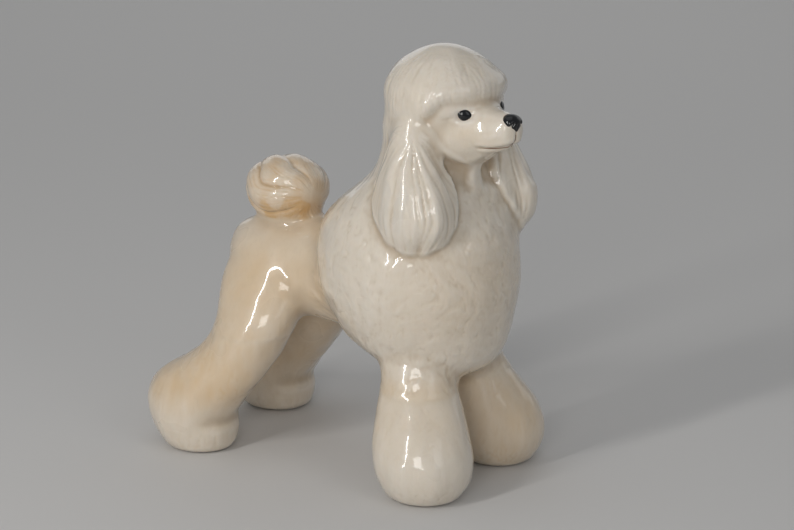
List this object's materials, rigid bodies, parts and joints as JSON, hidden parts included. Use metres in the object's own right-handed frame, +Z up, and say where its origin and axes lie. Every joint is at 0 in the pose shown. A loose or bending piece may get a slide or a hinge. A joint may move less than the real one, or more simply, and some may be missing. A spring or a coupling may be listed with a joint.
{
  "type": "ceramic dog figurine",
  "caption": "Glazed ceramic figurine of a standing show-clipped poodle, hollow slip-cast, with its head turned and a pompon on its tail.",
  "frame": {"origin": "on the surface it stands on, at the middle of the footprint's bounding box", "axes": "+X the way the dog faces, +Y to the dog's left, +Z up from the soles"},
  "size_m": [0.1402, 0.081, 0.1445],
  "materials": {
    "ivory_glaze": "glossy",
    "slip": "glossy",
    "black_enamel": "glossy",
    "brown_enamel": "glossy"
  },
  "bodies": {
    "root": {"torso": "ivory_glaze", "head": "ivory_glaze", "ear_left": "ivory_glaze", "ear_right": "ivory_glaze", "foreleg_left": "ivory_glaze", "foreleg_right": "ivory_glaze", "hindleg_left": "ivory_glaze", "hindleg_right": "ivory_glaze", "tail_pompon": "ivory_glaze", "slip_neck": "slip", "slip_ear_left": "slip", "slip_ear_right": "slip", "slip_foreleg_left": "slip", "slip_foreleg_right": "slip", "slip_hindleg_left": "slip", "slip_hindleg_right": "slip", "slip_tail": "slip", "eye_left": "black_enamel", "eye_right": "black_enamel", "nose": "black_enamel", "mouth_line": "brown_enamel"}
  },
  "joints": []
}
